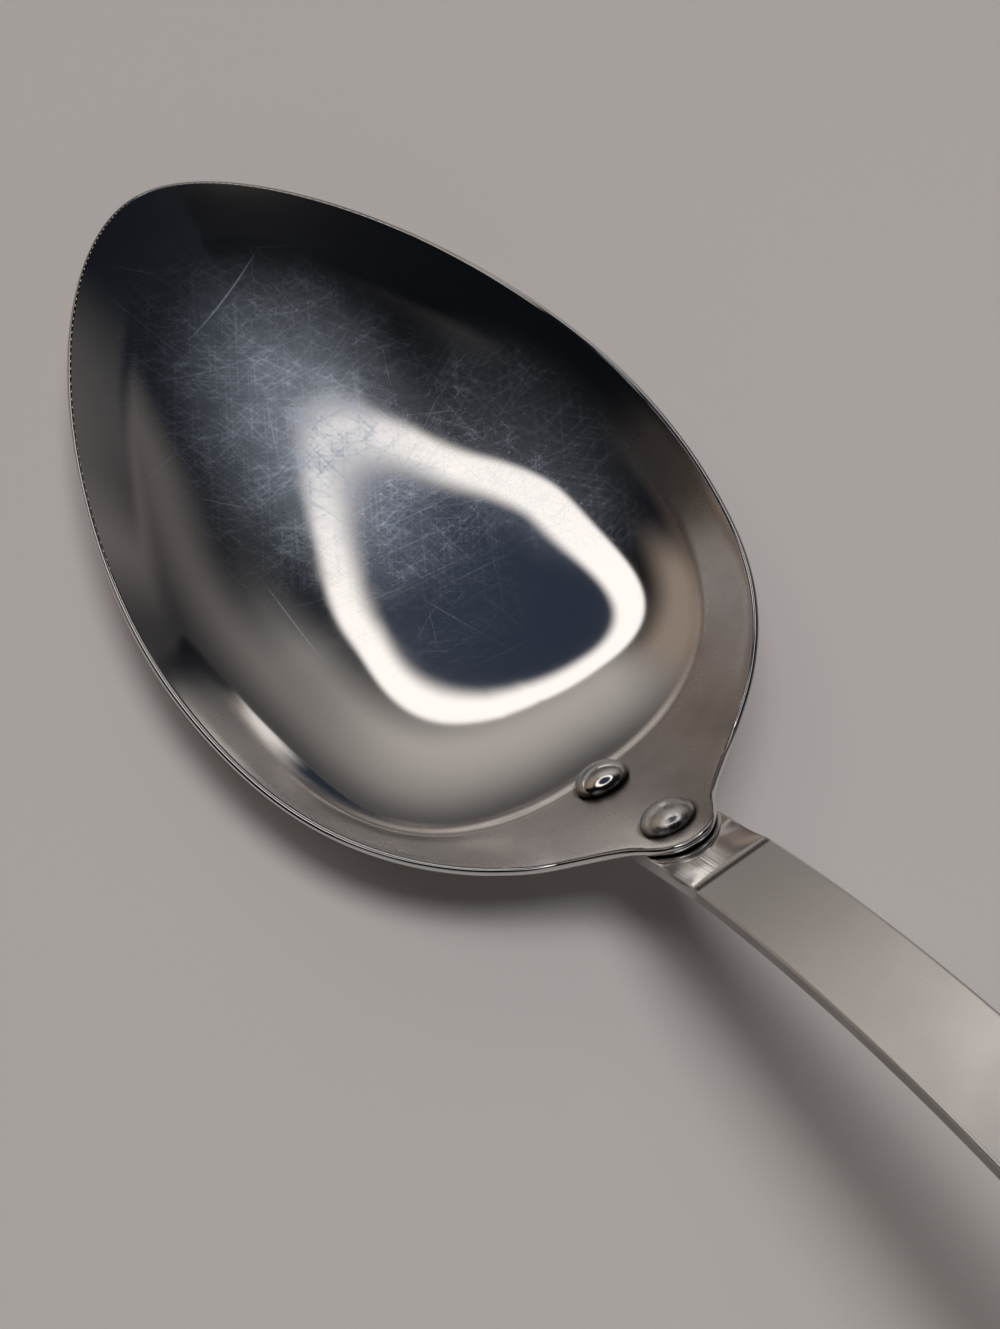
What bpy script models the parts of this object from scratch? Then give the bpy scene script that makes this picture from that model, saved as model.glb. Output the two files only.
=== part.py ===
"""Serving spoon: a pressed bowl riveted onto an arched strap handle.

The spoon lies as it does on a table, its rim level and the foot of its handle
down. X runs from the tip of the bowl to the end of the handle, Z is up.
"""
import math

import bmesh
import bpy
import numpy as np
from mathutils import Matrix, Vector

# Bowl, seen from above
TIP_LENGTH = 0.062
HEEL_LENGTH = 0.0504
BOWL_WIDTH = 0.0664
TIP_PULL = 0.0150
SIDE_PULL = 0.0265
HEEL_PULL = 0.0200
SHOULDER_BACK = 0.0129
SHOULDER_WIDTH = 0.0368
SHOULDER_ANGLE = math.radians(51.6)
SHOULDER_PULL = 0.0104
FLARE_PULL = 0.0050
LOBE_WIDTH = 0.0109
LOBE_LENGTH = 0.0037
LOBE_ANGLE = math.radians(41.0)
LOBE_PULL = 0.0022
LOBE_NOSE = 0.0060

# Bowl, seen from the side
BOWL_DEPTH = 0.0135
DISH_LONG_R = 0.119
DISH_CROSS_R = 0.109
HEEL_POWER = 4.8
SIDE_POWER = 3.2
TIP_POWER = 3.1
SHEET = 0.0009
TIP_DROOP = 0.0006
DROOP_LENGTH = 0.030
SHOULDER_LIFT = 0.0013
LIFT_LENGTH = 0.020
TAB_BLEND = 0.0013
TAB_SLOPE = math.radians(43.1)
BAND_WIDTH = 0.0046
TIP_BAND_WIDTH = 0.0087
CREASE_PULL = 0.0220
CREASE_FADE = 0.031
TIP_CREASE_DEPTH = 0.0033
SIDE_CREASE_DEPTH = 0.0040
HEEL_CREASE_DEPTH = 0.0058

# Strap handle
STRAP = 0.0022
NECK_WIDTH = 0.0094
FOOT_WIDTH = 0.0150
NECK_LENGTH = 0.0053
NECK_BEND_R = 0.006
NECK_SLOPE = math.radians(37.0)
SWEEP_R = 0.124
SWEEP_SLOPE = math.radians(24.5)
ARCH_R = 0.110
DESCENT_SLOPE = math.radians(28.0)
FOOT_BEND_R = 0.045
FOOT_FLAT = 0.016

# Rivets
RIVET_HEAD_D = 0.0062
RIVET_HEAD_H = 0.0015
RIVET_HEAD_EDGE = 0.0002
RIVET_SHANK_D = 0.0040
RIVET_TAIL_D = 0.0058
RIVET_TAIL_H = 0.0012
REAR_RIVET_INSET = 0.0060
RIVET_PITCH = 0.0146
TONGUE_OVERHANG = 0.0046

# Gap left between pieces that touch on the real spoon
GAP = 0.0003
# How far the front rivet's head laps over the crease
CREASE_LAP = 0.0008

BOWL_LENGTH = TIP_LENGTH + HEEL_LENGTH
RIM_HEIGHT = BOWL_DEPTH + SHEET
TAB_COS = math.cos(TAB_SLOPE)
TAB_SIN = math.sin(TAB_SLOPE)
FRONT_RIVET_INSET = REAR_RIVET_INSET + RIVET_PITCH
TONGUE_LENGTH = FRONT_RIVET_INSET + TONGUE_OVERHANG
TAB_REACH = FRONT_RIVET_INSET + RIVET_HEAD_D / 2 - CREASE_LAP
CREASE_X = BOWL_LENGTH - TAB_REACH * TAB_COS


def smooth_step(value, low, high):
    """Rise from 0 to 1 with flat ends."""
    t = np.clip((value - low) / (high - low), 0.0, 1.0)
    return t * t * (3.0 - 2.0 * t)


def smooth_max(a, b, radius):
    """The larger of two heights, rounded where they meet."""
    t = np.clip(0.5 + 0.5 * (a - b) / radius, 0.0, 1.0)
    return b + (a - b) * t + radius * t * (1.0 - t)


def bezier(p0, p1, p2, p3, count):
    """Points of one cubic curve, the last one left to the next curve."""
    t = np.linspace(0.0, 1.0, count, endpoint=False)[:, None]
    a, b, c, d = (np.array(p) for p in (p0, p1, p2, p3))
    return (1 - t) ** 3 * a + 3 * t * (1 - t) ** 2 * b + 3 * t ** 2 * (1 - t) * c + t ** 3 * d


def tab_height(x):
    """Height of the flat tab over the rim plane."""
    return -HEEL_CREASE_DEPTH + math.tan(TAB_SLOPE) * (x - CREASE_X)


def half_outline():
    """Plan of the rim from tip to tab, on the side of positive Y."""
    half = BOWL_WIDTH / 2
    tip_side = bezier((0.0, 0.0), (0.0, TIP_PULL), (TIP_LENGTH - SIDE_PULL, half),
                      (TIP_LENGTH, half), 18)
    shoulder = np.array((BOWL_LENGTH - SHOULDER_BACK, SHOULDER_WIDTH / 2))
    inward = np.array((math.cos(SHOULDER_ANGLE), -math.sin(SHOULDER_ANGLE)))
    heel_side = bezier((TIP_LENGTH, half), (TIP_LENGTH + HEEL_PULL, half),
                       shoulder - SHOULDER_PULL * inward, shoulder, 12)
    lobe = np.array((BOWL_LENGTH - LOBE_LENGTH, LOBE_WIDTH / 2))
    pull = LOBE_PULL * np.array((math.cos(LOBE_ANGLE), -math.sin(LOBE_ANGLE)))
    flare = bezier(shoulder, shoulder + FLARE_PULL * inward, lobe - pull, lobe, 6)
    lobe_end = bezier(lobe, lobe + pull, (BOWL_LENGTH, LOBE_NOSE / 2), (BOWL_LENGTH, 0.0), 6)
    return np.vstack((tip_side, heel_side, flare, lobe_end, ((BOWL_LENGTH, 0.0),)))


def rim_height(x):
    """Height of the rim: a little droop at the tip, a lift into the tab."""
    plain = SHOULDER_LIFT * smooth_step(x, CREASE_X - LIFT_LENGTH, CREASE_X)
    plain = plain - TIP_DROOP * (1.0 - smooth_step(x, 0.0, DROOP_LENGTH))
    return smooth_max(plain, tab_height(x), TAB_BLEND)


def crease_line(rim):
    """Where the rim band meets the dish, in the direction of each rim point."""
    half = BOWL_WIDTH / 2 - BAND_WIDTH
    reach = CREASE_X - TIP_LENGTH
    heel = bezier((reach, 0.0), (reach, CREASE_PULL), (CREASE_PULL, half), (0.0, half), 80)
    arm = rim - np.array((TIP_LENGTH, 0.0))
    way = np.arctan2(arm[:, 1], arm[:, 0])
    length = np.hypot(arm[:, 0], arm[:, 1])
    out = np.interp(way, np.arctan2(heel[:, 1], heel[:, 0]), np.hypot(heel[:, 0], heel[:, 1]))
    tip_turn = smooth_step(way, math.pi / 2, math.pi)
    tip_out = length - BAND_WIDTH - (TIP_BAND_WIDTH - BAND_WIDTH) * tip_turn
    share = np.where(arm[:, 0] > 0.0, out, tip_out) / length
    x = TIP_LENGTH + arm[:, 0] * share
    fade_in = smooth_step(x, TIP_LENGTH - CREASE_FADE, TIP_LENGTH)
    deepen = smooth_step(x, TIP_LENGTH, CREASE_X)
    depth = TIP_CREASE_DEPTH + (SIDE_CREASE_DEPTH - TIP_CREASE_DEPTH) * fade_in
    depth = depth + (HEEL_CREASE_DEPTH - SIDE_CREASE_DEPTH) * deepen
    return np.column_stack((x, arm[:, 1] * share, -depth))


def new_object(name, mesh, collection):
    obj = bpy.data.objects.new(name, mesh)
    collection.objects.link(obj)
    return obj


def paint(obj, colour, roughness):
    """Give a piece its own steel."""
    mat = bpy.data.materials.new(obj.name)
    mat.use_nodes = True
    shader = mat.node_tree.nodes["Principled BSDF"]
    shader.inputs["Base Color"].default_value = (*colour, 1.0)
    shader.inputs["Roughness"].default_value = roughness
    shader.inputs["Metallic"].default_value = 1.0
    obj.data.materials.append(mat)


def place(points):
    """From tip and rim plane to the middle of the footprint on the table."""
    return [Vector((p[0] - MIDDLE_X, p[1], p[2] + RIM_HEIGHT)) for p in points]


def thicken(obj, thickness):
    """Give an open surface its sheet thickness on the under side."""
    mod = obj.modifiers.new("sheet", "SOLIDIFY")
    mod.thickness = thickness
    mod.offset = -1.0
    mod.use_even_offset = True


def bowl_mesh():
    """Rings from the rim down the band to the crease, then down the dish."""
    half = half_outline()
    mirror = half[1:-1][::-1] * np.array((1.0, -1.0))
    rim = np.vstack((half, mirror))
    crease = crease_line(np.column_stack((rim[:, 0], np.abs(rim[:, 1]))))
    crease[:, 1] *= np.sign(rim[:, 1])
    rim = np.column_stack((rim, rim_height(rim[:, 0])))
    middle = np.array((TIP_LENGTH, 0.0))
    arm = crease[:, :2] - middle
    bend = arm[:, 0] ** 2 / (2 * DISH_LONG_R) + arm[:, 1] ** 2 / (2 * DISH_CROSS_R)
    way = np.arctan2(np.abs(arm[:, 1]), arm[:, 0])
    power = HEEL_POWER + (SIDE_POWER - HEEL_POWER) * smooth_step(way, 0.0, math.pi / 2)
    power = power + (TIP_POWER - SIDE_POWER) * smooth_step(way, math.pi / 2, math.pi)
    rings = [rim + (crease - rim) * t for t in (0.0, 0.33, 0.67, 1.0)]
    for t in (0.93, 0.84, 0.72, 0.58, 0.42, 0.22):
        rise = bend * t ** 2 + (crease[:, 2] + BOWL_DEPTH - bend) * t ** power
        rings.append(np.column_stack((middle + arm * t, rise - BOWL_DEPTH)))
    count = len(rim)
    points = place(np.vstack(rings + [np.array(((TIP_LENGTH, 0.0, -BOWL_DEPTH),))]))
    faces = []
    for ring in range(len(rings) - 1):
        for i in range(count):
            j = (i + 1) % count
            a, b = ring * count, (ring + 1) * count
            faces.append((a + i, b + i, b + j, a + j))
    last = (len(rings) - 1) * count
    for i in range(count):
        faces.append((last + i, len(points) - 1, last + (i + 1) % count))
    mesh = bpy.data.meshes.new("bowl")
    mesh.from_pydata(points, [], faces)
    return mesh


def bend_rise(radius, low, high):
    """How far a bend climbs on its way from one slope to another."""
    return math.copysign(radius, low - high) * (math.cos(high) - math.cos(low))


def strap_path():
    """Top of the strap from tongue to foot: x, z, distance and slope."""
    tab_end = np.array((BOWL_LENGTH, tab_height(BOWL_LENGTH)))
    normal = np.array((-TAB_SIN, TAB_COS))
    along = np.array((TAB_COS, TAB_SIN))
    start = tab_end - TONGUE_LENGTH * along - (SHEET + GAP) * normal
    straight = TONGUE_LENGTH + NECK_LENGTH
    neck = (NECK_BEND_R, TAB_SLOPE, NECK_SLOPE)
    sweep = (SWEEP_R, NECK_SLOPE, SWEEP_SLOPE)
    arch = (ARCH_R, SWEEP_SLOPE, -DESCENT_SLOPE)
    foot = (FOOT_BEND_R, -DESCENT_SLOPE, 0.0)
    climb = straight * TAB_SIN + sum(bend_rise(*bend) for bend in (neck, sweep, arch, foot))
    drop = start[1] + climb - (STRAP - RIM_HEIGHT)
    pieces = [(straight, TAB_SLOPE, TAB_SLOPE, 16)]
    for (radius, low, high), count in ((neck, 3), (sweep, 7), (arch, 16)):
        pieces.append((radius * abs(high - low), low, high, count))
    pieces.append((drop / math.sin(DESCENT_SLOPE), -DESCENT_SLOPE, -DESCENT_SLOPE, 3))
    pieces.append((FOOT_BEND_R * DESCENT_SLOPE, -DESCENT_SLOPE, 0.0, 6))
    pieces.append((FOOT_FLAT, 0.0, 0.0, 12))
    rows = [(start[0], start[1], 0.0, TAB_SLOPE)]
    for length, low, high, count in pieces:
        step = length / count
        for i in range(count):
            x, z, gone, _ = rows[-1]
            mid = low + (high - low) * (i + 0.5) / count
            slope = low + (high - low) * (i + 1.0) / count
            rows.append((x + step * math.cos(mid), z + step * math.sin(mid), gone + step, slope))
    return np.array(rows)


def strap_half_width(gone, total):
    """Half the strap's width: even on the tongue, growing to the foot, both ends round."""
    half = np.interp(gone, (TONGUE_LENGTH, total), (NECK_WIDTH, FOOT_WIDTH)) / 2
    nose = np.clip(gone / (NECK_WIDTH / 2), 0.0, 1.0)
    toe = np.clip((total - gone) / (FOOT_WIDTH / 2), 0.0, 1.0)
    return half * np.sqrt(1 - (1 - nose) ** 2) * np.sqrt(1 - (1 - toe) ** 2)


def handle_mesh(path):
    """A strap of cross rows along the path, one vertex at either end."""
    half = strap_half_width(path[:, 2], path[-1, 2])
    shares = (-1.0, -0.5, 0.0, 0.5, 1.0)
    points = [(path[0, 0], 0.0, path[0, 1])]
    for row in range(1, len(path) - 1):
        points.extend((path[row, 0], half[row] * s, path[row, 1]) for s in shares)
    points.append((path[-1, 0], 0.0, path[-1, 1]))
    wide = len(shares)
    rows = len(path) - 2
    faces = []
    for i in range(wide - 1):
        faces.append((0, 1 + i, 2 + i))
        end = 1 + (rows - 1) * wide + i
        faces.append((end, len(points) - 1, end + 1))
        for row in range(rows - 1):
            a = 1 + row * wide + i
            faces.append((a, a + wide, a + wide + 1, a + 1))
    mesh = bpy.data.meshes.new("handle")
    mesh.from_pydata(place(points), [], faces)
    return mesh


def rivet_profile():
    """Half section of a rivet, top to bottom, zero at the tab's face."""
    head_r = RIVET_HEAD_D / 2
    tail_r = RIVET_TAIL_D / 2
    shank_r = RIVET_SHANK_D / 2
    tail_top = -(SHEET + STRAP + 2 * GAP)
    rows = []
    for i in range(7):
        turn = math.pi / 2 * (1 - i / 6)
        rise = RIVET_HEAD_EDGE + (RIVET_HEAD_H - RIVET_HEAD_EDGE) * math.sin(turn)
        rows.append((head_r * math.cos(turn), GAP + rise))
    rows.append((head_r, GAP))
    rows.append((shank_r, GAP))
    rows.append((shank_r, tail_top))
    for i in range(5):
        turn = math.pi / 2 * i / 4
        rows.append((tail_r * math.cos(turn), tail_top - RIVET_TAIL_H * math.sin(turn)))
    rows[0] = (0.0, rows[0][1])
    rows[-1] = (0.0, rows[-1][1])
    return rows


def rivet_frame(inset):
    """Where a rivet stands on the tab: its own Z along the tab's normal."""
    x = BOWL_LENGTH - inset * TAB_COS
    spot = place(((x, 0.0, tab_height(x)),))[0]
    return Matrix.Translation(spot) @ Matrix.Rotation(-TAB_SLOPE, 4, "Y")


def add_rivet(name, inset, collection):
    mesh = bpy.data.meshes.new(name)
    rows = [Vector((r, 0.0, z)) for r, z in rivet_profile()]
    mesh.from_pydata(rows, [(i, i + 1) for i in range(len(rows) - 1)], [])
    obj = new_object(name, mesh, collection)
    turn = obj.modifiers.new("turn", "SCREW")
    turn.axis = "Z"
    turn.steps = 32
    turn.render_steps = 32
    turn.use_merge_vertices = True
    turn.merge_threshold = 0.00001
    obj.matrix_world = rivet_frame(inset)
    return obj


def add_drill(name, inset, collection):
    """A clearance cutter for one rivet through tab and tongue."""
    mesh = bpy.data.meshes.new(name)
    bm = bmesh.new()
    radius = RIVET_SHANK_D / 2 + GAP
    bmesh.ops.create_cone(bm, cap_ends=True, segments=32, radius1=radius, radius2=radius,
                          depth=4 * (SHEET + STRAP))
    bm.to_mesh(mesh)
    bm.free()
    obj = new_object(name, mesh, collection)
    obj.matrix_world = rivet_frame(inset)
    obj.hide_render = True
    obj.display_type = "WIRE"
    return obj


def drill(obj, cutters):
    for cutter in cutters:
        mod = obj.modifiers.new(cutter.name, "BOOLEAN")
        mod.operation = "DIFFERENCE"
        mod.solver = "EXACT"
        mod.object = cutter


for old in list(bpy.data.objects):
    bpy.data.objects.remove(old, do_unlink=True)
spoon = bpy.data.collections.new("serving_spoon")
tools = bpy.data.collections.new("cutters")
bpy.context.scene.collection.children.link(spoon)
bpy.context.scene.collection.children.link(tools)

PATH = strap_path()
TIP_BAND_SLOPE = math.atan2(TIP_CREASE_DEPTH - TIP_DROOP, TIP_BAND_WIDTH)
MIDDLE_X = (PATH[-1, 0] - SHEET * math.sin(TIP_BAND_SLOPE)) / 2
INSETS = {"front_rivet": FRONT_RIVET_INSET, "rear_rivet": REAR_RIVET_INSET}
drills = [add_drill(name + "_drill", inset, tools) for name, inset in INSETS.items()]

# Bowl: one pressing of polished stainless sheet, its heel drawn out into the tab
bowl = new_object("bowl", bowl_mesh(), spoon)
thicken(bowl, SHEET)
drill(bowl, drills)
paint(bowl, (0.62, 0.62, 0.62), 0.12)

# Handle: a stainless strap, its tongue under the tab and its foot on the table
handle = new_object("handle", handle_mesh(PATH), spoon)
thicken(handle, STRAP)
drill(handle, drills)
paint(handle, (0.58, 0.56, 0.54), 0.32)

# Rivets: domed heads inside the bowl, tails formed under the tongue
for rivet_name, rivet_inset in INSETS.items():
    rivet = add_rivet(rivet_name, rivet_inset, spoon)
    paint(rivet, (0.60, 0.59, 0.58), 0.16)
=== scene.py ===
"""Serving spoon: a polished pressed bowl riveted onto a satin strap handle."""

import math

import bmesh
import bpy
import numpy as np
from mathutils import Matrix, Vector


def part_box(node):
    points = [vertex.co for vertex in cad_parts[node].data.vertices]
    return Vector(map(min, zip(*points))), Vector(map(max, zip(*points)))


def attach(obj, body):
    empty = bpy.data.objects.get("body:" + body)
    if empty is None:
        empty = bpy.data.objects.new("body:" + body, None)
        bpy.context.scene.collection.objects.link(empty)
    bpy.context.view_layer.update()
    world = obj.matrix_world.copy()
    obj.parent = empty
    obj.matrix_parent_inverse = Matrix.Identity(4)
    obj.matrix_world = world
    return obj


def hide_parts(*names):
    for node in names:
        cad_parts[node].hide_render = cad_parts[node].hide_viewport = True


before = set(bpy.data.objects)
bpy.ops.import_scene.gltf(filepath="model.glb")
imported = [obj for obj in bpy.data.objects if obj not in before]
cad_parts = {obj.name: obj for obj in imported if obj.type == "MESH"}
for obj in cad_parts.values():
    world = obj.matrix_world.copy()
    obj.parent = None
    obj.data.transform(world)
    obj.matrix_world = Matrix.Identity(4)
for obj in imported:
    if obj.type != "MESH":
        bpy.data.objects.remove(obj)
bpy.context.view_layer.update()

# Bowl: one pressing of stainless sheet with an egg-shaped rim. Its heel is drawn up into a
# flat tab for the rivets, with a small ledge pressed in where dish and tab meet, and its cut
# edge is rounded over. It is polished bright, and use has scratched the floor of the dish.
TIP_LENGTH = 0.062
HEEL_LENGTH = 0.0504
BOWL_WIDTH = 0.0664
TIP_PULL = 0.0150
SIDE_PULL = 0.0265
HEEL_PULL = 0.0200
SHOULDER_BACK = 0.0129
SHOULDER_WIDTH = 0.0368
SHOULDER_ANGLE = math.radians(51.6)
SHOULDER_PULL = 0.0104
FLARE_PULL = 0.0050
LOBE_WIDTH = 0.0109
LOBE_LENGTH = 0.0037
LOBE_ANGLE = math.radians(41.0)
LOBE_PULL = 0.0022
LOBE_NOSE = 0.0060
BOWL_DEPTH = 0.0135
DISH_LONG_R = 0.119
DISH_CROSS_R = 0.109
HEEL_POWER = 4.8
SIDE_POWER = 3.2
TIP_POWER = 3.1
SHEET = 0.0009
TIP_DROOP = 0.0006
DROOP_LENGTH = 0.030
SHOULDER_LIFT = 0.0013
LIFT_LENGTH = 0.020
TAB_BLEND = 0.0013
TAB_SLOPE = math.radians(43.1)
BAND_WIDTH = 0.0046
TIP_BAND_WIDTH = 0.0087
CREASE_PULL = 0.0220
CREASE_FADE = 0.031
TIP_CREASE_DEPTH = 0.0033
SIDE_CREASE_DEPTH = 0.0040
HEEL_CREASE_DEPTH = 0.0058
REAR_RIVET_INSET = 0.0060
RIVET_PITCH = 0.0146
RIVET_HEAD_D = 0.0062
CREASE_LAP = 0.0008
HEEL_FILLET = 0.0009
SIDE_FILLET = 0.0015
LIP_WIDTH = 0.0016
LIP_TURN = 0.28
LIP_SHINE = 0.4
EDGE_R = 0.00043
LEDGE_WIDTH = 0.0009
LEDGE_TURN = 0.60
LEDGE_FAINT = 0.5
FAINT_BEARING = (0.0, 0.5)

# Where each of these comes in, or the lip goes out again, by distance from the tip.
EASE_SPAN = (0.025, 0.050)
SATIN_SPAN = (0.052, 0.068)
FILLET_SPAN = (0.060, 0.076)
LIP_SPAN = (0.062, 0.080)
LEDGE_SPAN = (0.072, 0.088)
LIP_END_SPAN = (0.096, 0.101)

TIP_POINTS = 72
HEEL_POINTS = 56
TAB_POINTS = 24
CREASE_POINTS = 4000
EASE_ROUNDS = 80
DISH_RINGS = 40
DISH_SPACING = 0.85
CREASE_RINGS = 18
BAND_RINGS = 12
LIP_RINGS = 8
EDGE_STEPS = 5

BOWL_LENGTH = TIP_LENGTH + HEEL_LENGTH
RIM_HEIGHT = BOWL_DEPTH + SHEET
TAB_COS = math.cos(TAB_SLOPE)
TAB_SIN = math.sin(TAB_SLOPE)
FRONT_RIVET_INSET = REAR_RIVET_INSET + RIVET_PITCH
TAB_REACH = FRONT_RIVET_INSET + RIVET_HEAD_D / 2 - CREASE_LAP
CREASE_X = BOWL_LENGTH - TAB_REACH * TAB_COS
TIP_BAND_SLOPE = math.atan2(TIP_CREASE_DEPTH - TIP_DROOP, TIP_BAND_WIDTH)
TIP_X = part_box("bowl")[0].x + SHEET * math.sin(TIP_BAND_SLOPE)


def smooth_step(value, low, high):
    """Rise from 0 to 1 with flat ends."""
    t = np.clip((value - low) / (high - low), 0.0, 1.0)
    return t * t * (3.0 - 2.0 * t)


def smooth_max(a, b, radius):
    """The larger of two heights, rounded where they meet."""
    t = np.clip(0.5 + 0.5 * (a - b) / radius, 0.0, 1.0)
    return b + (a - b) * t + radius * t * (1.0 - t)


def bezier(p0, p1, p2, p3, count):
    """Points of one cubic curve, the last one left to the next curve."""
    t = np.linspace(0.0, 1.0, count, endpoint=False)[:, None]
    a, b, c, d = (np.array(p) for p in (p0, p1, p2, p3))
    return (1 - t) ** 3 * a + 3 * t * (1 - t) ** 2 * b + 3 * t ** 2 * (1 - t) * c + t ** 3 * d


def tab_height(x):
    """Height of the flat tab over the rim plane."""
    return -HEEL_CREASE_DEPTH + math.tan(TAB_SLOPE) * (x - CREASE_X)


def rim_plan():
    """Closed plan of the rim, from the tip over the side of positive Y and back."""
    half = BOWL_WIDTH / 2
    tip_side = bezier((0.0, 0.0), (0.0, TIP_PULL), (TIP_LENGTH - SIDE_PULL, half),
                      (TIP_LENGTH, half), TIP_POINTS)
    shoulder = np.array((BOWL_LENGTH - SHOULDER_BACK, SHOULDER_WIDTH / 2))
    inward = np.array((math.cos(SHOULDER_ANGLE), -math.sin(SHOULDER_ANGLE)))
    heel_side = bezier((TIP_LENGTH, half), (TIP_LENGTH + HEEL_PULL, half),
                       shoulder - SHOULDER_PULL * inward, shoulder, HEEL_POINTS)
    lobe = np.array((BOWL_LENGTH - LOBE_LENGTH, LOBE_WIDTH / 2))
    pull = LOBE_PULL * np.array((math.cos(LOBE_ANGLE), -math.sin(LOBE_ANGLE)))
    flare = bezier(shoulder, shoulder + FLARE_PULL * inward, lobe - pull, lobe, TAB_POINTS)
    lobe_end = bezier(lobe, lobe + pull, (BOWL_LENGTH, LOBE_NOSE / 2), (BOWL_LENGTH, 0.0),
                      TAB_POINTS)
    side = np.vstack((tip_side, heel_side, flare, lobe_end, ((BOWL_LENGTH, 0.0),)))
    return np.vstack((side, side[1:-1][::-1] * np.array((1.0, -1.0))))


def rim_height(x):
    """Height of the rim: a little droop at the tip, a lift into the tab."""
    plain = SHOULDER_LIFT * smooth_step(x, CREASE_X - LIFT_LENGTH, CREASE_X)
    plain = plain - TIP_DROOP * (1.0 - smooth_step(x, 0.0, DROOP_LENGTH))
    return smooth_max(plain, tab_height(x), TAB_BLEND)


def crease_reach(arm):
    """Distance and height of the crease in the direction of each rim point."""
    half = BOWL_WIDTH / 2 - BAND_WIDTH
    reach = CREASE_X - TIP_LENGTH
    heel = bezier((reach, 0.0), (reach, CREASE_PULL), (CREASE_PULL, half), (0.0, half),
                  CREASE_POINTS)
    way = np.arctan2(np.abs(arm[:, 1]), arm[:, 0])
    length = np.hypot(arm[:, 0], arm[:, 1])
    heel_out = np.interp(way, np.arctan2(heel[:, 1], heel[:, 0]), np.hypot(heel[:, 0], heel[:, 1]))
    tip_turn = smooth_step(way, math.pi / 2, math.pi)
    tip_out = length - BAND_WIDTH - (TIP_BAND_WIDTH - BAND_WIDTH) * tip_turn
    out = np.where(arm[:, 0] > 0.0, heel_out, tip_out)
    x = TIP_LENGTH + arm[:, 0] * out / length
    fade_in = smooth_step(x, TIP_LENGTH - CREASE_FADE, TIP_LENGTH)
    deepen = smooth_step(x, TIP_LENGTH, CREASE_X)
    depth = TIP_CREASE_DEPTH + (SIDE_CREASE_DEPTH - TIP_CREASE_DEPTH) * fade_in
    return x, out, -depth - (HEEL_CREASE_DEPTH - SIDE_CREASE_DEPTH) * deepen


def eased_round(values):
    """Values round the rim, smoothed along it."""
    for _ in range(EASE_ROUNDS):
        values = (np.roll(values, 1, 0) + 2.0 * values + np.roll(values, -1, 0)) / 4.0
    return values


def ring_shares(count):
    """Even shares of a span, from just past its start to its end."""
    return np.linspace(0.0, 1.0, count + 1)[1:]


def inner_face():
    """Rings of the inner face from the middle of the dish to the rim, and how satin they are."""
    rim = rim_plan()
    arm = rim - np.array((TIP_LENGTH, 0.0))
    length = np.hypot(arm[:, 0], arm[:, 1])[:, None]
    arm = arm / length
    crease_x, crease, crease_z = (v[:, None] for v in crease_reach(arm * length))
    ease = smooth_step(crease_x, *EASE_SPAN)
    crease = crease + (eased_round(crease) - crease) * ease
    crease_z = crease_z + (eased_round(crease_z) - crease_z) * ease
    fillet = SIDE_FILLET + (HEEL_FILLET - SIDE_FILLET) * smooth_step(crease_x, *FILLET_SPAN)
    inner = crease - fillet
    outer = crease + fillet
    lip = length - LIP_WIDTH
    radii = np.hstack((inner * ring_shares(DISH_RINGS) ** DISH_SPACING,
                       inner + (outer - inner) * ring_shares(CREASE_RINGS),
                       outer + (lip - outer) * ring_shares(BAND_RINGS),
                       lip + LIP_WIDTH * ring_shares(LIP_RINGS)))
    bend = (arm[:, :1] ** 2 / DISH_LONG_R + arm[:, 1:] ** 2 / DISH_CROSS_R) * crease ** 2 / 2
    swell = crease_z + BOWL_DEPTH - bend
    way = np.arctan2(np.abs(arm[:, 1:]), arm[:, :1])
    power = HEEL_POWER + (SIDE_POWER - HEEL_POWER) * smooth_step(way, 0.0, math.pi / 2)
    power = power + (TIP_POWER - SIDE_POWER) * smooth_step(way, math.pi / 2, math.pi)
    band = (rim_height(rim[:, :1]) - crease_z) / (length - crease)
    shoulder = smooth_step(rim[:, :1], *LIP_SPAN) * (1.0 - smooth_step(rim[:, :1], *LIP_END_SPAN))
    share = radii / crease
    dish_slope = (2.0 * bend * share + power * swell * share ** (power - 1.0)) / crease
    slope = dish_slope + (band - dish_slope) * smooth_step(radii, inner, outer)
    ledge = smooth_step(radii, crease - LEDGE_WIDTH, crease)
    ledge = ledge * (1.0 - smooth_step(radii, crease, crease + LEDGE_WIDTH))
    ledge = ledge * (1.0 - LEDGE_FAINT * smooth_step(arm[:, 1:], *FAINT_BEARING))
    slope = slope - LEDGE_TURN * ledge * smooth_step(crease_x, *LEDGE_SPAN)
    slope = slope - LIP_TURN * shoulder * smooth_step(radii, lip, length)
    steps = np.diff(radii, axis=1, prepend=0.0)
    before = np.hstack((np.zeros_like(length), slope[:, :-1]))
    height = np.cumsum((slope + before) / 2 * steps, axis=1) - BOWL_DEPTH
    miss = rim_height(rim[:, :1]) - height[:, -1:]
    height = height + miss * np.clip((radii - crease) / (length - crease), 0.0, 1.0)
    plan = radii[..., None] * arm[:, None, :]
    satin = smooth_step(radii, inner - fillet, crease) * smooth_step(rim[:, :1], *SATIN_SPAN)
    satin = satin * (1.0 - LIP_SHINE * smooth_step(radii, lip, length))
    return np.dstack((TIP_X + TIP_LENGTH + plan[..., 0], plan[..., 1], RIM_HEIGHT + height)), satin


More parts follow.
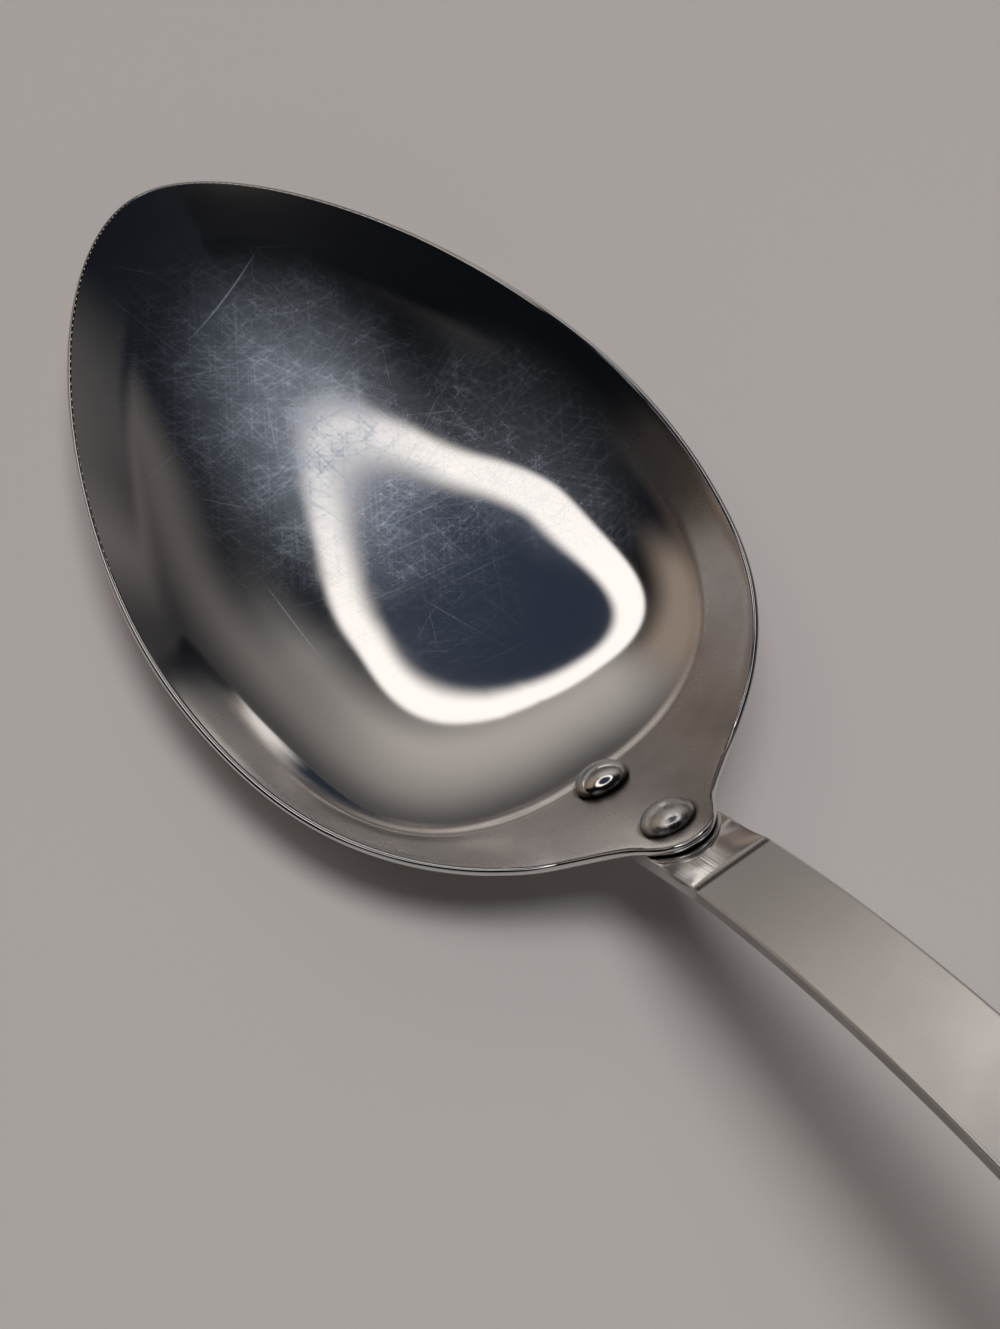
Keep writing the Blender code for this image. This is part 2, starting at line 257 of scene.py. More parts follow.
def sheet_rows(face):
    """Rows of a closed sheet: up the inner face, over the round edge, down the outer face."""
    around = np.roll(face, -1, 0) - np.roll(face, 1, 0)
    normal = np.cross(np.gradient(face, axis=1), around)
    normal = normal / np.linalg.norm(normal, axis=2, keepdims=True)
    normal = normal * np.sign(normal[..., 2:])
    out = np.cross(normal[:, -1], around[:, -1])
    out = out / np.linalg.norm(out, axis=1, keepdims=True)
    out = out * np.sign((out * (face[:, -1] - face[:, -2])).sum(1))[:, None]
    rim, up = face[:, -1], normal[:, -1]
    rows = [face[:, i] for i in range(face.shape[1] - 1)]
    upper = (EDGE_R, np.linspace(0.0, 0.5, EDGE_STEPS))
    lower = (SHEET - EDGE_R, np.linspace(0.5, 1.0, EDGE_STEPS))
    for centre, turns in (upper, lower):
        for turn in turns * math.pi:
            lean = EDGE_R * (math.cos(turn) * up + (math.sin(turn) - 1.0) * out)
            rows.append(rim - centre * up + lean)
    under = face - SHEET * normal
    return rows + [under[:, i] for i in reversed(range(face.shape[1] - 1))]


def closed_rows(name, rows, first, last):
    """A mesh of closed rows of equal count, with one vertex at either end."""
    count = len(rows[0])
    points = np.vstack(rows + [first, last])
    faces = []
    for row in range(len(rows) - 1):
        a, b = row * count, (row + 1) * count
        faces.extend((a + i, a + (i + 1) % count, b + (i + 1) % count, b + i) for i in range(count))
    tail = (len(rows) - 1) * count
    faces.extend((len(points) - 2, (i + 1) % count, i) for i in range(count))
    faces.extend((len(points) - 1, tail + i, tail + (i + 1) % count) for i in range(count))
    mesh = bpy.data.meshes.new(name)
    mesh.from_pydata([tuple(p) for p in points], [], faces)
    tidy = bmesh.new()
    tidy.from_mesh(mesh)
    bmesh.ops.recalc_face_normals(tidy, faces=tidy.faces)
    tidy.to_mesh(mesh)
    tidy.free()
    mesh.shade_smooth()
    return mesh


class Wire:
    """A socket's output that takes part in arithmetic by adding Math nodes."""

    def __init__(self, nodes, socket):
        self.nodes = nodes
        self.socket = socket

    def maths(self, operation, *values):
        return self.nodes.add("ShaderNodeMath", {"operation": operation}, dict(enumerate(values)))

    def larger(self, other):
        return self.maths("MAXIMUM", self, other)

    def __add__(self, other):
        return self.maths("ADD", self, other)

    def __sub__(self, other):
        return self.maths("SUBTRACT", self, other)

    def __rsub__(self, other):
        return self.maths("SUBTRACT", other, self)

    def __mul__(self, other):
        return self.maths("MULTIPLY", self, other)

    def __rtruediv__(self, other):
        return self.maths("DIVIDE", other, self)

    def __pow__(self, other):
        return self.maths("POWER", self, other)

    __radd__ = __add__
    __rmul__ = __mul__


class Nodes:
    """A node tree with one way to add a node: type, settings, then socket values or wires."""

    def __init__(self, tree):
        self.tree = tree

    def add(self, kind, settings=None, values=None, output=0):
        node = self.tree.nodes.new(kind)
        for key, value in (settings or {}).items():
            setattr(node, key, value)
        for key, value in (values or {}).items():
            self.feed(node.inputs[key], value)
        return Wire(self, node.outputs[output] if node.outputs else None)

    def feed(self, socket, value):
        if isinstance(value, Wire):
            self.tree.links.new(value.socket, socket)
        else:
            socket.default_value = value

    def ramp(self, value, low, high):
        """A smooth rise from 0 to 1 as the value goes from low to high."""
        return self.add("ShaderNodeMapRange", {"interpolation_type": "SMOOTHSTEP"},
                        {"Value": value, "From Min": low, "From Max": high})

    def mix(self, share, a, b):
        """Two colours, or wires of colour, mixed by a share."""
        return self.add("ShaderNodeMix", {"data_type": "RGBA"}, {0: share, 6: a, 7: b}, output=2)


def steel(name):
    """A new material and its nodes, with the shader set to bare metal."""
    material = bpy.data.materials.new(name)
    material.use_nodes = True
    shader = material.node_tree.nodes["Principled BSDF"]
    shader.inputs["Metallic"].default_value = 1.0
    return material, Nodes(material.node_tree), shader


# A scale that takes the height out of a pattern, so that it runs straight through the sheet.
FLATTEN = 1e6


def streaks(nodes, place, turn, across, along, cut, soft):
    """Thin marks that run one way: stretched noise above a cut."""
    laid = nodes.add("ShaderNodeMapping", {"vector_type": "TEXTURE"}, {
        "Vector": place, "Rotation": (0.0, 0.0, turn), "Scale": (1.0 / along, 1.0 / across, FLATTEN)})
    noise = nodes.add("ShaderNodeTexNoise", {}, {"Vector": laid, "Scale": 1.0, "Detail": 2.0})
    return nodes.ramp(noise, cut, cut + soft)


def patch(nodes, place, x, y, long, wide, turn, edge):
    """A soft oval patch of the dish, measured from the tip: 1 in its middle, 0 outside."""
    laid = nodes.add("ShaderNodeMapping", {"vector_type": "TEXTURE"}, {
        "Vector": place, "Location": (TIP_X + x, y, 0.0), "Rotation": (0.0, 0.0, turn),
        "Scale": (long, wide, FLATTEN)})
    away = nodes.add("ShaderNodeVectorMath", {"operation": "LENGTH"}, {0: laid}, output=1)
    return 1.0 - nodes.ramp(away, edge, 1.0)


BRIGHT_COLOUR = (0.66, 0.65, 0.64, 1.0)
SATIN_COLOUR = (0.59, 0.55, 0.525, 1.0)
# Dark colour of the stains on the satin, also used for the painted shade round the rivet feet.
STAIN_AND_SHADE_COLOUR = (0.17, 0.15, 0.14, 1.0)
VEIL_COLOUR = (0.60, 0.67, 0.80, 1.0)
BRIGHT_ROUGH = 0.055
HAZE_ROUGH = 0.05
SATIN_ROUGH = 0.17
STAIN_ROUGH = 0.12
# Painted shade: a dark ring on the tab round the foot of each rivet head, with its radius, soft edge
# and strength.
SEAT_SHADE_R = 0.0037
SEAT_SHADE_EDGE = 0.84
SEAT_SHADE_AMOUNT = 0.85
STAIN_GRIME = 0.22
STAIN_RANGE = (0.42, 0.72)
HAZE_RANGE = (0.36, 0.68)

# The worn floor, middle, side and inner part of the dish: each a patch, and the share of
# dull veil that it has all over, in its clouds and in its lines.
WORN_PLACES = (
    {"patch": (0.042, -0.001, 0.040, 0.024, 0.05, 0.30), "plain": 0.03, "cloudy": 0.0, "lined": 0.06},
    {"patch": (0.037, 0.001, 0.027, 0.017, -0.1, 0.05), "plain": 0.39, "cloudy": 0.12, "lined": 0.17},
    {"patch": (0.056, 0.020, 0.024, 0.011, 0.15, 0.20), "plain": 0.10, "cloudy": 0.0, "lined": 0.10},
    {"patch": (0.052, 0.005, 0.017, 0.011, 0.2, 0.10), "plain": 0.03, "cloudy": 0.0, "lined": 0.10})
LEAST_VEIL = 0.004
LINES_IN_CLEAR = 0.3

# Layers of fine lines and of single marks: the turn of each, and its noise across and along.
LINE_LAYERS = ((0.55, 2400.0, 90.0), (1.05, 2900.0, 70.0), (1.45, 2200.0, 110.0),
               (1.85, 2700.0, 80.0), (2.60, 3000.0, 90.0), (0.15, 2500.0, 100.0))
LINE_CUT = (0.52, 0.14)
MARK_LAYERS = ((0.35, 3000.0, 30.0), (0.95, 2700.0, 45.0), (1.40, 3300.0, 25.0),
               (2.05, 2900.0, 40.0), (2.75, 3100.0, 35.0))
MARK_CUT = (0.68, 0.06)
MARK_VEIL = 0.25

# Two long scratches: x and y of the middle from the tip, half length and turn.
LONG_SCRATCHES = ((0.0166, 0.0017, 0.0085, 1.92), (0.0576, -0.0152, 0.0080, 0.01))
SCRATCH_HALF_WIDTH = 0.00016
SCRATCH_EDGE = 0.3
SCRATCH_VEIL = 0.30


def wear_veil(nodes, coords, haze, floor):
    """How much of the polish is veiled by wear: clouds, fine lines, marks and long scratches."""
    lines, *more_lines = (streaks(nodes, coords, *layer, *LINE_CUT) for layer in LINE_LAYERS)
    for layer in more_lines:
        lines = lines + layer
    marks, *more_marks = (streaks(nodes, coords, *layer, *MARK_CUT) for layer in MARK_LAYERS)
    for layer in more_marks:
        marks = marks.larger(layer)
    lines = lines * (LINES_IN_CLEAR + (1.0 - LINES_IN_CLEAR) * haze)
    share = LEAST_VEIL + floor * marks * MARK_VEIL
    for place in WORN_PLACES:
        worn = patch(nodes, coords, *place["patch"])
        share = share + worn * (place["plain"] + haze * place["cloudy"] + lines * place["lined"])
    for x, y, half_length, turn in LONG_SCRATCHES:
        scratch = patch(nodes, coords, x, y, half_length, SCRATCH_HALF_WIDTH, turn, SCRATCH_EDGE)
        share = share + SCRATCH_VEIL * scratch
    return share


def polished_sheet():
    """Mirror polish with a worn, finely scratched floor, satin on the tab and the heel band, and
    painted shade round the rivet feet.
    """
    material, nodes, shader = steel("bowl_polish")
    coords = nodes.add("ShaderNodeTexCoord", output=3)
    satin = nodes.add("ShaderNodeAttribute", {"attribute_name": "satin"}, output=2)
    clouds = nodes.add("ShaderNodeTexNoise", {}, {
        "Vector": coords, "Scale": 210.0, "Detail": 7.0, "Roughness": 0.72})
    haze = nodes.ramp(clouds, *HAZE_RANGE)
    floor = patch(nodes, coords, *WORN_PLACES[0]["patch"])
    stains = nodes.add("ShaderNodeTexNoise", {}, {
        "Vector": coords, "Scale": 130.0, "Detail": 6.0, "Roughness": 0.7})
    stain_and_shade = satin * STAIN_GRIME * nodes.ramp(stains, *STAIN_RANGE)
    # Painted shade: the tab is darkened in a ring round the foot of each rivet head.
    for inset in (FRONT_RIVET_INSET, REAR_RIVET_INSET):
        seat_x = BOWL_LENGTH - inset * TAB_COS
        seat_shade_ring = patch(nodes, coords, seat_x, 0.0, SEAT_SHADE_R * TAB_COS, SEAT_SHADE_R, 0.0, SEAT_SHADE_EDGE)
        stain_and_shade = stain_and_shade.larger(seat_shade_ring * SEAT_SHADE_AMOUNT)
    clean = nodes.mix(satin, BRIGHT_COLOUR, SATIN_COLOUR)
    nodes.feed(shader.inputs["Base Color"], nodes.mix(stain_and_shade, clean, STAIN_AND_SHADE_COLOUR))
    rough = BRIGHT_ROUGH + floor * haze * HAZE_ROUGH + satin * (SATIN_ROUGH + STAIN_ROUGH * stains)
    nodes.feed(shader.inputs["Roughness"], rough)
    waves = nodes.add("ShaderNodeTexNoise", {}, {"Vector": coords, "Scale": 95.0, "Detail": 1.0})
    nodes.feed(shader.inputs["Normal"], nodes.add("ShaderNodeBump", {}, {
        "Strength": 0.05, "Distance": 0.0002, "Height": waves}))
    veil = nodes.add("ShaderNodeBsdfPrincipled", {}, {
        "Metallic": 0.60, "Base Color": VEIL_COLOUR, "Roughness": 0.34})
    surface = nodes.add("ShaderNodeMixShader", {}, {
        0: wear_veil(nodes, coords, haze, floor), 1: Wire(nodes, shader.outputs[0]), 2: veil})
    nodes.feed(material.node_tree.nodes["Material Output"].inputs[0], surface)
    return material


inside, satin_share = inner_face()
dish_floor = (TIP_X + TIP_LENGTH, 0.0, SHEET)
dish_under = (TIP_X + TIP_LENGTH, 0.0, 0.0)
bowl = bpy.data.objects.new("bowl_pressing", closed_rows("bowl_pressing", sheet_rows(inside),
                                                         dish_floor, dish_under))
bpy.context.scene.collection.objects.link(bowl)
satin_of_points = np.zeros(len(bowl.data.vertices))
satin_of_points[:satin_share[:, :-1].size] = satin_share[:, :-1].T.ravel()
bowl.data.attributes.new("satin", "FLOAT", "POINT").data.foreach_set("value", satin_of_points)
bowl.data.materials.append(polished_sheet())
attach(bowl, "root")
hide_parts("bowl")

# Handle: one stainless strap with its edges broken. Its tongue lies under the tab, bends
# at the neck and sweeps up into a long arch that comes down to a flat round-ended foot.
# It is polished as far as the neck bend and satin beyond it. Its cut sides are duller steel, painted
# darker still as shade, and a painted shade line runs along the neck bend.
STRAP = 0.0022
NECK_WIDTH = 0.0094
FOOT_WIDTH = 0.0150
NECK_LENGTH = 0.0053
NECK_BEND_R = 0.006
NECK_SLOPE = math.radians(37.0)
SWEEP_R = 0.124
SWEEP_SLOPE = math.radians(24.5)
ARCH_R = 0.110
DESCENT_SLOPE = math.radians(28.0)
FOOT_BEND_R = 0.045
FOOT_FLAT = 0.016
TONGUE_OVERHANG = 0.0046
SEAT_GAP = 0.0003
STRAP_EDGE_R = 0.00035
TONGUE_CROWN = 0.0003
CROWN_BLEND = 0.0012
CROWN_FADE = 0.0030
PATH_STEP = 0.0004
LEAST_STEPS = 4
NECK_MARGIN = 0.004
END_STATIONS = 17
NECK_STATIONS = 60
ARCH_STATIONS = 150
CORNER_STEPS = 5
FACE_SHARES = (0.0, 0.3, 0.6, 0.85, 0.97)
TONGUE_LENGTH = FRONT_RIVET_INSET + TONGUE_OVERHANG
BEND_START = TONGUE_LENGTH + NECK_LENGTH


def bend_rise(radius, low, high):
    """How far a bend climbs on its way from one slope to another."""
    return math.copysign(radius, low - high) * (math.cos(high) - math.cos(low))


def strap_path():
    """Top of the strap from tongue to foot: x, z, distance and slope in small steps."""
    tab_end = np.array((BOWL_LENGTH, tab_height(BOWL_LENGTH)))
    normal = np.array((-TAB_SIN, TAB_COS))
    along = np.array((TAB_COS, TAB_SIN))
    start = tab_end - TONGUE_LENGTH * along - (SHEET + SEAT_GAP) * normal
    neck = (NECK_BEND_R, TAB_SLOPE, NECK_SLOPE)
    sweep = (SWEEP_R, NECK_SLOPE, SWEEP_SLOPE)
    arch = (ARCH_R, SWEEP_SLOPE, -DESCENT_SLOPE)
    foot = (FOOT_BEND_R, -DESCENT_SLOPE, 0.0)
    climb = BEND_START * TAB_SIN + sum(bend_rise(*bend) for bend in (neck, sweep, arch, foot))
    drop = start[1] + climb - (STRAP - RIM_HEIGHT)
    pieces = [(BEND_START, TAB_SLOPE, TAB_SLOPE)]
    pieces.extend((radius * abs(high - low), low, high) for radius, low, high in (neck, sweep, arch))
    pieces.append((drop / math.sin(DESCENT_SLOPE), -DESCENT_SLOPE, -DESCENT_SLOPE))
    pieces.append((FOOT_BEND_R * DESCENT_SLOPE, -DESCENT_SLOPE, 0.0))
    pieces.append((FOOT_FLAT, 0.0, 0.0))
    rows = [(TIP_X + start[0], RIM_HEIGHT + start[1], 0.0, TAB_SLOPE)]
    for length, low, high in pieces:
        count = max(LEAST_STEPS, round(length / PATH_STEP))
        step = length / count
        for i in range(count):
            x, z, gone, _ = rows[-1]
            mid = low + (high - low) * (i + 0.5) / count
            slope = low + (high - low) * (i + 1.0) / count
            rows.append((x + step * math.cos(mid), z + step * math.sin(mid), gone + step, slope))
    return np.array(rows)


def strap_plan(total):
    """Plan of the flat strap: distance along and half width, both ends round."""
    nose = NECK_WIDTH / 2
    toe = FOOT_WIDTH / 2
    turn = math.pi / 2 * (1.0 - np.cos(np.linspace(0.0, math.pi / 2, END_STATIONS)))
    near = np.column_stack((nose - nose * np.cos(turn), nose * np.sin(turn)))
    past_neck = BEND_START + NECK_MARGIN
    length = np.concatenate((np.linspace(nose, past_neck, NECK_STATIONS)[1:],
                             np.linspace(past_neck, total - toe, ARCH_STATIONS)[1:-1]))
    half = np.interp(length, (TONGUE_LENGTH, total - toe), (NECK_WIDTH, FOOT_WIDTH)) / 2
    far = np.column_stack((total - toe + toe * np.cos(turn), toe * np.sin(turn)))
    return np.vstack((near[1:], np.column_stack((length, half)), far[:0:-1]))


def bent_strap(path, plan):
    """The strap's closed rows, laid out flat and then bent along its path, and its cut sides."""
    side = np.gradient(plan, axis=0)
    side = side / np.linalg.norm(side, axis=1, keepdims=True)
    outward = np.column_stack((-side[:, 1], side[:, 0]))
    corner = [(STRAP_EDGE_R * (1.0 - math.sin(turn)), STRAP_EDGE_R * (1.0 - math.cos(turn)))
              for turn in np.linspace(0.0, math.pi / 2, CORNER_STEPS)]
    section = corner + [(inset, STRAP - drop) for inset, drop in reversed(corner)]
    edge = [plan - inset * outward for inset, _ in section]
    rows = [(edge[0] * np.array((1.0, share)), 0.0) for share in FACE_SHARES]
    rows.extend((line, depth) for line, (_, depth) in zip(edge, section))
    rows.extend((edge[-1] * np.array((1.0, share)), STRAP) for share in reversed(FACE_SHARES))
    half = np.array([np.column_stack((line, np.full(len(line), depth))) for line, depth in rows])
    across = np.concatenate((half, (half * np.array((1.0, -1.0, 1.0)))[::-1][1:-1]))
    gone, sideways, depth = (across[..., i] for i in range(3))
    crown = smooth_step(gone, TONGUE_LENGTH - CROWN_BLEND, TONGUE_LENGTH + CROWN_BLEND)
    crown = crown * (1.0 - smooth_step(gone, BEND_START - CROWN_FADE, BEND_START))
    crown = crown * TONGUE_CROWN * (sideways / (NECK_WIDTH / 2)) ** 2
    depth = depth + crown * (1.0 - depth / STRAP)
    slope = np.interp(gone, path[:, 2], path[:, 3])
    x = np.interp(gone, path[:, 2], path[:, 0]) + np.sin(slope) * depth
    z = np.interp(gone, path[:, 2], path[:, 1]) - np.cos(slope) * depth
    cut = smooth_step(depth, 0.0, STRAP_EDGE_R) * smooth_step(STRAP - depth, 0.0, STRAP_EDGE_R)
    return np.dstack((x, sideways, z)).transpose(1, 0, 2), cut.T


FACE_COLOUR = (0.88, 0.855, 0.83, 1.0)
SMUDGE_COLOUR = (0.79, 0.76, 0.735, 1.0)
# Dark colour for the duller cut sides, darkened further as painted shade, and for the painted shade
# line at the neck bend.
CUT_AND_SHADE_COLOUR = (0.13, 0.12, 0.115, 1.0)
SMUDGE_RANGE = (0.30, 0.75)
SMUDGE_ROUGH_RANGE = (0.35, 0.7)
GRAIN_SCALE = (60.0, 5200.0, 60.0)
CUT_SHADE = 0.55
CUT_GRAIN_SHADE = 0.35
BEND_SHADE = 0.8
BEND_LINE = 0.0007
POLISH_BLEND = 0.0005
TONGUE_ROUGH = 0.11
STRAP_ROUGH = 0.30
SMUDGE_ROUGH = 0.07
GRAIN_ROUGH = 0.06
CUT_ROUGH = 0.15


def satin_strap(polish_end):
    """Satin steel with a fine grain along the strap, polished as far as the neck bend."""
    material, nodes, shader = steel("handle_satin")
    coords = nodes.add("ShaderNodeTexCoord", output=3)
    x = nodes.add("ShaderNodeSeparateXYZ", {}, {0: coords})
    satin = nodes.ramp(x, polish_end, polish_end + POLISH_BLEND)
    laid = nodes.add("ShaderNodeMapping", {}, {"Vector": coords, "Scale": GRAIN_SCALE})
    grain = nodes.add("ShaderNodeTexNoise", {}, {"Vector": laid, "Scale": 1.0, "Detail": 3.0})
    smudge = nodes.add("ShaderNodeTexNoise", {}, {"Vector": coords, "Scale": 70.0, "Detail": 4.0})
    cut = nodes.add("ShaderNodeAttribute", {"attribute_name": "cut"}, output=2)
    face = nodes.mix(nodes.ramp(smudge, *SMUDGE_RANGE), FACE_COLOUR, SMUDGE_COLOUR)
    # Painted shade: a soft dark line just before the neck bend, and the cut sides darkened, partly as
    # duller steel.
    bend_shade_line = nodes.ramp(x, polish_end - BEND_LINE, polish_end) * (1.0 - satin)
    shaded = (cut * (CUT_SHADE + CUT_GRAIN_SHADE * grain)).larger(bend_shade_line * BEND_SHADE)
    nodes.feed(shader.inputs["Base Color"], nodes.mix(shaded, face, CUT_AND_SHADE_COLOUR))
    rough = STRAP_ROUGH + SMUDGE_ROUGH * nodes.ramp(smudge, *SMUDGE_ROUGH_RANGE) + GRAIN_ROUGH * grain
    rough = TONGUE_ROUGH + satin * (rough - TONGUE_ROUGH) + cut * CUT_ROUGH
    nodes.feed(shader.inputs["Roughness"], rough)
    nodes.feed(shader.inputs["Normal"], nodes.add("ShaderNodeBump", {}, {
        "Strength": 0.12, "Distance": 0.0001, "Height": grain}))
    return material


path = strap_path()
strap, cut_share = bent_strap(path, strap_plan(path[-1, 2]))
middle_line = np.zeros(len(path))
half_down = STRAP / 2 * np.column_stack((np.sin(path[:, 3]), middle_line, -np.cos(path[:, 3])))
ends = np.column_stack((path[:, 0], middle_line, path[:, 1])) + half_down
handle = bpy.data.objects.new("strap_handle", closed_rows("strap_handle", list(strap),
                                                          ends[0], ends[-1]))
bpy.context.scene.collection.objects.link(handle)
bend_end = BEND_START + NECK_BEND_R * (TAB_SLOPE - NECK_SLOPE)
neck_bend = np.interp(bend_end, path[:, 2], path[:, 0])
cut_of_points = np.zeros(len(handle.data.vertices))
cut_of_points[:cut_share.size] = cut_share.ravel()
handle.data.attributes.new("cut", "FLOAT", "POINT").data.foreach_set("value", cut_of_points)
handle.data.materials.append(satin_strap(float(neck_bend)))
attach(handle, "root")
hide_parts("handle")

# Rivets: two solid stainless rivets, their domed heads inside the bowl and their tails
# formed under the tongue. The front one sits on the crease and is still bright, and the
# rear one is dulled by wear.
HEAD_HEIGHT = 0.0018
HEAD_FULLNESS = 1.04
SHANK_D = 0.0040
TAIL_D = 0.0058
TAIL_HEIGHT = 0.0012
GRIP = SHEET + SEAT_GAP + STRAP
RIVET_SIDES = 72
DOME_ROWS = 14
TAIL_ROWS = 6
RIVET_COUNT = 2
MERGE_DISTANCE = 0.00001
SHARP_ANGLE = math.radians(50.0)
SEAT_SHADOW_COLOUR = (0.10, 0.09, 0.085, 1.0)
SEAT_SHADOW = (0.0001, 0.0009)
REAR_BLEND = 0.001
DULL_RANGE = (0.35, 0.65)
HEAD_ROUGH = 0.10
DULL_ROUGH = 0.04
REAR_ROUGH = 0.09
REAR_DULL_ROUGH = 0.14
HEAD_BUMP = 0.15
REAR_BUMP = 0.35


def rivet_tree(material):
    """Revolve one rivet and set it out along the tab, front to rear."""
    tree = bpy.data.node_groups.new("rivets", "GeometryNodeTree")
    tree.interface.new_socket("Geometry", in_out="OUTPUT", socket_type="NodeSocketGeometry")
    sizes = ("Head Diameter", "Head Height", "Shank Diameter", "Tail Diameter", "Tail Height", "Grip",
             "Pitch", "Slope")
    for name in sizes:
        tree.interface.new_socket(name, in_out="INPUT", socket_type="NodeSocketFloat")
    tree.interface.new_socket("First", in_out="INPUT", socket_type="NodeSocketVector")
    nodes = Nodes(tree)
    size = {item.name: nodes.add("NodeGroupInput", output=item.name)
            for item in tree.interface.items_tree if item.in_out == "INPUT"}

    # Rows run down the dome, then to the top and the foot of the shank, and on over the tail.
    shank_top, shank_foot, tail_top = (DOME_ROWS + i for i in (1, 2, 3))
    last = tail_top + TAIL_ROWS
    grid = nodes.add("GeometryNodeMeshGrid", {}, {
        "Size X": 1.0, "Size Y": float(last), "Vertices X": RIVET_SIDES + 1, "Vertices Y": last + 1})
    laid = nodes.add("GeometryNodeInputPosition")
    turn = (0.5 - nodes.add("ShaderNodeSeparateXYZ", {}, {0: laid}, output=0)) * (2 * math.pi)
    row = nodes.add("ShaderNodeSeparateXYZ", {}, {0: laid}, output=1) + last / 2
    in_head = row.maths("LESS_THAN", row, shank_top - 0.5)
    in_tail = row.maths("GREATER_THAN", row, tail_top - 0.5)
    below = row.maths("GREATER_THAN", row, shank_foot - 0.5)
    head_turn = row.maths("MINIMUM", row, DOME_ROWS) * (math.pi / 2 / DOME_ROWS)
    tail_turn = (row - tail_top).larger(0.0) * (math.pi / 2 / TAIL_ROWS)
    head_cos = row.maths("COSINE", head_turn).larger(0.0)
    radius = in_head * size["Head Diameter"] * row.maths("SINE", head_turn)
    radius = radius + (1 - in_head) * (1 - in_tail) * size["Shank Diameter"]
    radius = (radius + in_tail * size["Tail Diameter"] * row.maths("COSINE", tail_turn)) * 0.5
    height = in_head * size["Head Height"] * head_cos ** HEAD_FULLNESS - below * size["Grip"]
    height = height - in_tail * size["Tail Height"] * row.maths("SINE", tail_turn)
    spot = nodes.add("ShaderNodeCombineXYZ", {}, {
        0: radius * row.maths("COSINE", turn), 1: radius * row.maths("SINE", turn), 2: height})
    solid = nodes.add("GeometryNodeSetPosition", {}, {"Geometry": grid, "Position": spot})
    solid = nodes.add("GeometryNodeMergeByDistance", {}, {
        "Geometry": solid, "Distance": MERGE_DISTANCE})
    pitch = nodes.add("ShaderNodeCombineXYZ", {}, {
        0: size["Pitch"] * row.maths("COSINE", size["Slope"]),
        2: size["Pitch"] * row.maths("SINE", size["Slope"])})
    line = nodes.add("GeometryNodeMeshLine", {}, {
        "Count": RIVET_COUNT, "Start Location": size["First"], "Offset": pitch})
    tilt = nodes.add("ShaderNodeCombineXYZ", {}, {1: 0.0 - size["Slope"]})
    set_out = nodes.add("GeometryNodeInstanceOnPoints", {}, {
        "Points": line, "Instance": solid,
        "Rotation": nodes.add("FunctionNodeEulerToRotation", {}, {0: tilt})})
    real = nodes.add("GeometryNodeRealizeInstances", {}, {0: set_out})
    painted = nodes.add("GeometryNodeSetMaterial", {}, {"Geometry": real, "Material": material})
    nodes.add("NodeGroupOutput", {}, {0: painted})
    return tree


def rivet_steel(between, tab_level):
    """Bright steel for the front head, dulled and mottled for the rear one, with painted shadow at the
    foot of each head.
    """
    material, nodes, shader = steel("rivet_steel")
    coords = nodes.add("ShaderNodeTexCoord", output=3)
    x = nodes.add("ShaderNodeSeparateXYZ", {}, {0: coords})
    rear = nodes.ramp(x, between - REAR_BLEND, between + REAR_BLEND)
    mottle = nodes.add("ShaderNodeTexNoise", {}, {"Vector": coords, "Scale": 900.0, "Detail": 4.0})
    dull = nodes.ramp(mottle, *DULL_RANGE)
    # Painted shadow: the foot of each head is darkened just above the tab.
    over_tab = nodes.add("ShaderNodeVectorMath", {"operation": "DOT_PRODUCT"},
                         {0: coords, 1: (-TAB_SIN, 0.0, TAB_COS)}, output=1) - tab_level
    nodes.feed(shader.inputs["Base Color"], nodes.mix(
        nodes.ramp(over_tab, *SEAT_SHADOW), SEAT_SHADOW_COLOUR, BRIGHT_COLOUR))
    rough = HEAD_ROUGH + DULL_ROUGH * dull + rear * (REAR_ROUGH + REAR_DULL_ROUGH * dull)
    nodes.feed(shader.inputs["Roughness"], rough)
    nodes.feed(shader.inputs["Normal"], nodes.add("ShaderNodeBump", {}, {
        "Strength": HEAD_BUMP + REAR_BUMP * rear, "Distance": 0.0001, "Height": mottle}))
    return material


front_x = BOWL_LENGTH - FRONT_RIVET_INSET * TAB_COS
front_spot = Vector((TIP_X + front_x, 0.0, RIM_HEIGHT + tab_height(front_x)))
rivet_finish = rivet_steel(front_spot.x + RIVET_PITCH / 2 * TAB_COS,
                           front_spot.z * TAB_COS - front_spot.x * TAB_SIN)
set_rivets = bpy.data.objects.new("rivet_maker", bpy.data.meshes.new("rivet_maker"))
bpy.context.scene.collection.objects.link(set_rivets)
maker = set_rivets.modifiers.new("rivets", "NODES")
maker.node_group = rivet_tree(rivet_finish)
rivet_sizes = {"Head Diameter": RIVET_HEAD_D, "Head Height": HEAD_HEIGHT, "Shank Diameter": SHANK_D,
               "Tail Diameter": TAIL_D, "Tail Height": TAIL_HEIGHT, "Grip": GRIP, "Pitch": RIVET_PITCH,
               "Slope": TAB_SLOPE, "First": front_spot}
for item in maker.node_group.interface.items_tree:
    if item.in_out == "INPUT":
        maker[item.identifier] = rivet_sizes[item.name]
made = set_rivets.evaluated_get(bpy.context.evaluated_depsgraph_get())
rivets = bpy.data.objects.new("rivets", bpy.data.meshes.new_from_object(made))
bpy.context.scene.collection.objects.link(rivets)
bpy.data.objects.remove(set_rivets)
rivets.data.shade_smooth()
rivets.data.set_sharp_from_angle(angle=SHARP_ANGLE)
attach(rivets, "root")
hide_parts("front_rivet", "rear_rivet")

